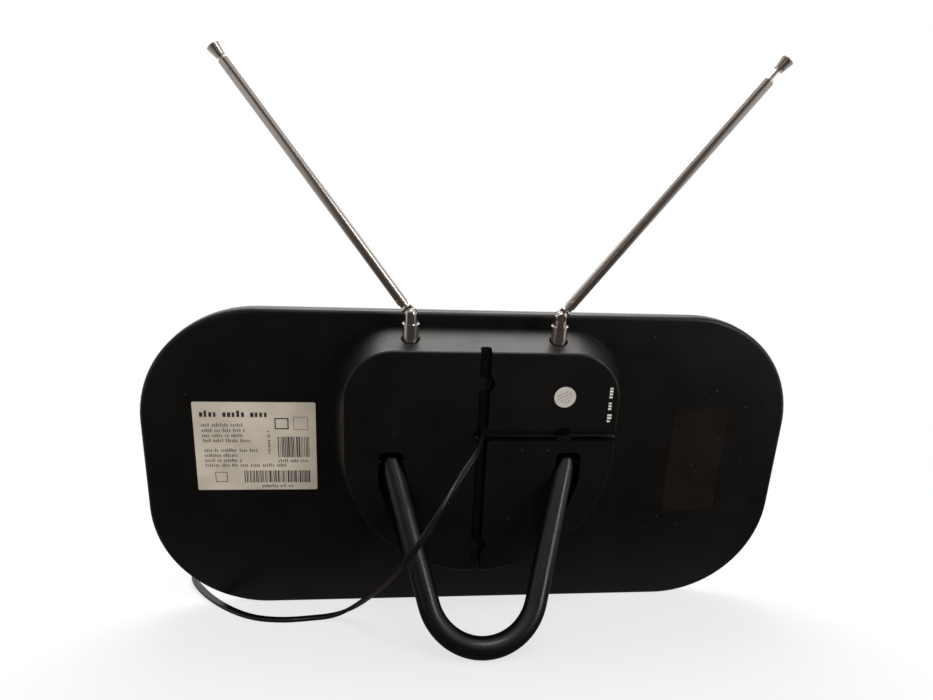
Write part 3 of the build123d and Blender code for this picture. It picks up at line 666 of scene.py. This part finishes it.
pale_print = []
for left, right, top in (
    (0.065, 0.41, 0.235), (0.065, 0.42, 0.295), (0.065, 0.405, 0.352), (0.07, 0.46, 0.410),
    (0.075, 0.51, 0.520), (0.075, 0.34, 0.578), (0.075, 0.38, 0.635), (0.075, 0.77, 0.692),
    (0.68, 0.94, 0.640), (0.535, 0.80, 0.935),
):
    pale_print += label_row(left, right, top, top + 0.038, 0.95)
x0, z0, x1, z1 = on_label(0.598, 0.30, 0.622, 0.58)
pale_print += [
    (low, side, high, end)
    for side, low, end, high in printed_row(z0, x0, z1 - z0, x1 - x0, 0.95)
]
pale_print += label_frame(0.815, 0.935, 0.16, 0.305, 0.3)
pale_lines = panel_plates("label_small_print", pale_print, LABEL_FACE)
pale_lines.data.materials.append(pale_ink)

silvered = plain_finish(
    "silvered_sticker", (0.47, 0.45, 0.42, 1), roughness=0.38, grain=0.4, depth=0.003, gloss=0.6,
    dust=0.0, rubs=0.6,
)
dress(silvered, "round_sticker")
grey_ink = print_ink("sticker_grey_ink", (0.13, 0.12, 0.105, 1), roughness=0.45, gloss=0.4)
STICKER_MIDDLE, STICKER_FACE = (36.9, 123.2), -20.15
STROKE_LONG, STROKE_TALL = 1.1, 0.28
stroke_rows = [
    (x - STROKE_LONG / 2, z - STROKE_TALL / 2, x + STROKE_LONG / 2, z + STROKE_TALL / 2)
    for x, z in (
        (-2.6, 1.9), (-1.2, 1.9), (0.2, 1.9), (1.7, 1.9), (-3.2, 0.5), (-1.8, 0.5),
        (-0.3, 0.5), (1.2, 0.5), (2.7, 0.5), (-2.2, -1.0), (-0.8, -1.0), (0.7, -1.0),
        (2.2, -1.0), (-1.0, -2.4), (0.6, -2.4),
    )
]
STICKER_TURN = math.radians(28)
spot_print = panel_plates(
    "sticker_strokes", stroke_rows, STICKER_FACE, turn=STICKER_TURN, middle=STICKER_MIDDLE
)
spot_print.data.materials.append(grey_ink)

film = plain_finish(
    "smoked_film", (0.0090, 0.0068, 0.0050, 1), roughness=0.30, grain=0.9, depth=0.004, gloss=0.30,
    dust=0.10, rubs=1.0,
)
dress(film, "film_patch")


# Studio
# A pale floor under three soft lamps. The background is white, and the side where the
# camera stood is dim, which the satin and the chrome show.

FLOOR_WHITE = (0.86, 0.86, 0.85, 1)
BACKDROP_WHITE = (1, 1, 1, 1)
DIM_SIDE = (0.060, 0.048, 0.042, 1)
WALL_GREY = (0.50, 0.475, 0.46, 1)
LAMP_WARM_WHITE = (1.0, 0.97, 0.93)

floor_mesh = bpy.data.meshes.new("studio_floor")
floor_mesh.from_pydata([(-4, -4, 0), (4, -4, 0), (4, 4, 0), (-4, 4, 0)], [], [(0, 1, 2, 3)])
studio_floor = bpy.data.objects.new("studio_floor", floor_mesh)
bpy.context.scene.collection.objects.link(studio_floor)
floor_paint = bpy.data.materials.new("floor_paint")
floor_paint.use_nodes = True
tree = floor_paint.node_tree
shader = tree.nodes["Principled BSDF"]
shader.inputs["Base Color"].default_value = FLOOR_WHITE
shader.inputs["Roughness"].default_value = 0.9
shader.inputs["Specular IOR Level"].default_value = 0.1
glow = step(tree, "Emission", Color=BACKDROP_WHITE, Strength=1.0)
floor_place = step(tree, "TexCoord").outputs["Object"]
apart = step(tree, "VectorMath", {"operation": "LENGTH"}, Vector=floor_place).outputs["Value"]
path = step(tree, "LightPath").outputs
seen = calc(tree, "MULTIPLY", path["Is Camera Ray"], between(tree, apart, 0.25, 0.8, 0.72, 1.0))
mixed = step(tree, "MixShader", Fac=seen)
tree.links.new(shader.outputs[0], mixed.inputs[1])
tree.links.new(glow.outputs[0], mixed.inputs[2])
split = step(tree, "SeparateXYZ", Vector=floor_place)
lit = calc(
    tree, "MAXIMUM",
    between(tree, split.outputs["Y"], -0.02, 0.14),
    between(tree, calc(tree, "ABSOLUTE", split.outputs["X"]), 0.22, 0.50),
)
mirrored = step(tree, "Emission", Color=blended(tree, lit, DIM_SIDE, WALL_GREY))
shown = step(tree, "MixShader", Fac=path["Is Glossy Ray"])
tree.links.new(mixed.outputs[0], shown.inputs[1])
tree.links.new(mirrored.outputs[0], shown.inputs[2])
tree.links.new(shown.outputs[0], tree.nodes["Material Output"].inputs["Surface"])
floor_mesh.materials.append(floor_paint)

world = bpy.data.worlds.new("studio_world")
bpy.context.scene.world = world
world.use_nodes = True
tree = world.node_tree
outward = step(tree, "TexCoord").outputs["Generated"]
split = step(tree, "SeparateXYZ", Vector=outward)
behind = between(tree, split.outputs["Y"], 0.0, 0.55)
above = between(tree, split.outputs["Z"], 0.22, 0.60)
sides = between(tree, calc(tree, "ABSOLUTE", split.outputs["X"]), 0.72, 0.92)
walls = blended(tree, calc(tree, "MAXIMUM", above, sides), DIM_SIDE, WALL_GREY)
room = blended(tree, behind, walls, BACKDROP_WHITE)
path = step(tree, "LightPath").outputs
seen = calc(tree, "MAXIMUM", path["Is Camera Ray"], path["Is Transmission Ray"])
backdrop = tree.nodes["Background"]
feed(tree, backdrop.inputs["Color"], blended(tree, seen, room, BACKDROP_WHITE))
backdrop.inputs["Strength"].default_value = 1.0


def soft_lamp(name, place, target, size, power):
    """An oblong area lamp that points at a place on the antenna."""
    light = bpy.data.lights.new(name, "AREA")
    light.shape = "RECTANGLE"
    light.size, light.size_y = size
    light.energy = power
    light.color = LAMP_WARM_WHITE
    lamp = bpy.data.objects.new(name, light)
    lamp.location = place
    lamp.rotation_euler = (Vector(target) - Vector(place)).to_track_quat("-Z", "Y").to_euler()
    bpy.context.scene.collection.objects.link(lamp)


soft_lamp("ceiling_lamp", (0.0, 0.62, 1.35), (0.0, 0.0, 0.08), (1.2, 1.2), 15.5)
soft_lamp("window_lamp", (1.05, -1.0, 0.42), (0.0, 0.0, 0.10), (0.22, 1.0), 5.6)
soft_lamp("front_lamp", (0.05, -0.60, 1.15), (0.0, 0.0, 0.05), (0.35, 0.35), 2.6)

bpy.context.scene.view_settings.view_transform = "Standard"
